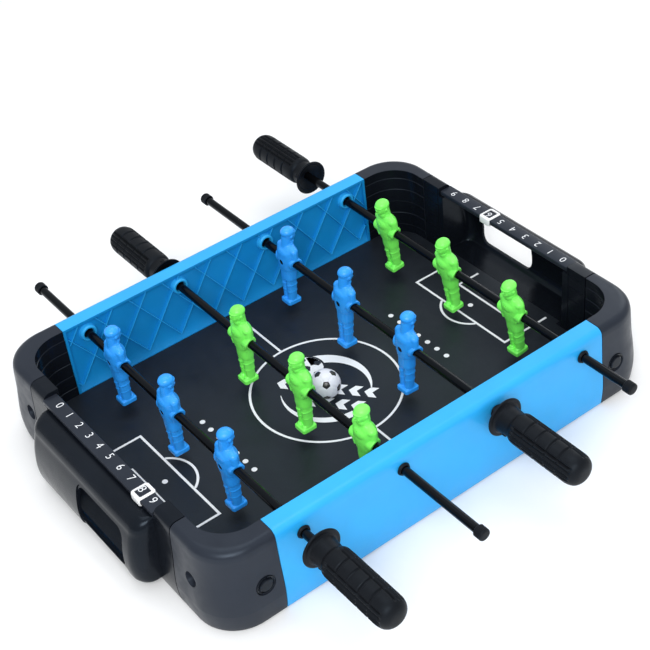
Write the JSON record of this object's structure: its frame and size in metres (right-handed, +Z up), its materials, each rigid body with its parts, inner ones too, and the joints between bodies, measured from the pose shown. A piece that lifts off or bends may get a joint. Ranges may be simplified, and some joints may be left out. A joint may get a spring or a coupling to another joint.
{
  "type": "tabletop foosball table",
  "caption": "Tabletop foosball: black frame with blue side panels, printed pitch, rods of blue and green players, handles, ball boxes and sliding score markers.",
  "frame": {"origin": "under the middle of the table, level with the soles of the foot pads, 1.5 mm below the underside of the pitch board", "axes": "+X along the table to the right-hand goal, +Y along the rods to the back panel, +Z up"},
  "size_m": [0.5124, 0.5924, 0.106],
  "materials": {
    "pitch_board": "satin black board, printed with white pitch lines",
    "blue_panel": "sky-blue moulded plastic, satin",
    "black_satin_plastic": "black moulded plastic, satin",
    "black_gloss_plastic": "black moulded plastic, semi-gloss",
    "black_rubber": "black, soft matt",
    "rod_black": "gloss black coated steel tube",
    "screw_steel": "plated steel screw",
    "white_plastic": "white moulded plastic",
    "ball_white": "white ball with black pentagons and faint seams",
    "player_blue": "blue moulded plastic, satin",
    "player_green": "bright green moulded plastic, satin"
  },
  "bodies": {
    "table": {"pitch_board": "pitch_board", "panel_front": "blue_panel", "panel_back": "blue_panel", "rod_bush_front_1": "black_satin_plastic", "rod_bush_front_2": "black_satin_plastic", "rod_bush_front_3": "black_satin_plastic", "rod_bush_front_4": "black_satin_plastic", "rod_bush_back_1": "black_satin_plastic", "rod_bush_back_2": "black_satin_plastic", "rod_bush_back_3": "black_satin_plastic", "rod_bush_back_4": "black_satin_plastic", "corner_front_left": "black_satin_plastic", "snap_plug_front_left": "black_satin_plastic", "corner_screw_front_left": "screw_steel", "foot_pad_front_left": "black_rubber", "corner_front_right": "black_satin_plastic", "snap_plug_front_right": "black_satin_plastic", "corner_screw_front_right": "screw_steel", "foot_pad_front_right": "black_rubber", "corner_back_left": "black_satin_plastic", "snap_plug_back_left": "black_satin_plastic", "corner_screw_back_left": "screw_steel", "foot_pad_back_left": "black_rubber", "corner_back_right": "black_satin_plastic", "snap_plug_back_right": "black_satin_plastic", "corner_screw_back_right": "screw_steel", "foot_pad_back_right": "black_rubber", "end_left": "black_gloss_plastic", "end_right": "black_gloss_plastic", "score_rail_left": "black_satin_plastic", "score_rail_right": "black_satin_plastic"},
    "cap_1": {"end_cap_1": "black_rubber"},
    "rod_1_set": {"rod_1": "rod_black", "handle_1": "black_rubber", "player_blue_1": "player_blue", "player_blue_2": "player_blue", "player_blue_3": "player_blue"},
    "cap_2": {"end_cap_2": "black_rubber"},
    "rod_2_set": {"rod_2": "rod_black", "handle_2": "black_rubber", "player_green_1": "player_green", "player_green_2": "player_green", "player_green_3": "player_green"},
    "cap_3": {"end_cap_3": "black_rubber"},
    "rod_3_set": {"rod_3": "rod_black", "handle_3": "black_rubber", "player_blue_4": "player_blue", "player_blue_5": "player_blue", "player_blue_6": "player_blue"},
    "cap_4": {"end_cap_4": "black_rubber"},
    "rod_4_set": {"rod_4": "rod_black", "handle_4": "black_rubber", "player_green_4": "player_green", "player_green_5": "player_green", "player_green_6": "player_green"},
    "marker_left": {"score_marker_left": "white_plastic"},
    "marker_right": {"score_marker_right": "white_plastic"},
    "ball": {"ball": "ball_white"},
    "ball_spare": {"ball_spare": "ball_white"}
  },
  "joints": [
    {"name": "rod_1_slide", "type": "slide", "parent": "table", "child": "cap_1", "axis": [0, 1, 0], "range_m": [-0.063, 0.0205]},
    {"name": "rod_1_spin", "type": "hinge", "parent": "cap_1", "child": "rod_1_set", "pos_m": [-0.15, 0, 0.07], "axis": [0, 1, 0], "continuous": true},
    {"name": "rod_2_slide", "type": "slide", "parent": "table", "child": "cap_2", "axis": [0, 1, 0], "range_m": [0, 0.085]},
    {"name": "rod_2_spin", "type": "hinge", "parent": "cap_2", "child": "rod_2_set", "pos_m": [-0.05, 0, 0.07], "axis": [0, 1, 0], "continuous": true},
    {"name": "rod_3_slide", "type": "slide", "parent": "table", "child": "cap_3", "axis": [0, 1, 0], "range_m": [-0.076, 0.0088]},
    {"name": "rod_3_spin", "type": "hinge", "parent": "cap_3", "child": "rod_3_set", "pos_m": [0.05, 0, 0.07], "axis": [0, 1, 0], "continuous": true},
    {"name": "rod_4_slide", "type": "slide", "parent": "table", "child": "cap_4", "axis": [0, 1, 0], "range_m": [-0.0372, 0.0472]},
    {"name": "rod_4_spin", "type": "hinge", "parent": "cap_4", "child": "rod_4_set", "pos_m": [0.15, 0, 0.07], "axis": [0, 1, 0], "continuous": true},
    {"name": "marker_left_slide", "type": "slide", "parent": "table", "child": "marker_left", "axis": [0, 1, 0], "range_m": [-0.0108, 0.1392]},
    {"name": "marker_right_slide", "type": "slide", "parent": "table", "child": "marker_right", "axis": [0, 1, 0], "range_m": [-0.0987, 0.0513]},
    {"name": "ball_roll", "type": "slide", "parent": "table", "child": "ball", "axis": [0, 1, 0], "range_m": [-0.1275, 0.1435]},
    {"name": "ball_spare_roll", "type": "slide", "parent": "table", "child": "ball_spare", "axis": [0, 1, 0], "range_m": [-0.128, 0.008]}
  ]
}
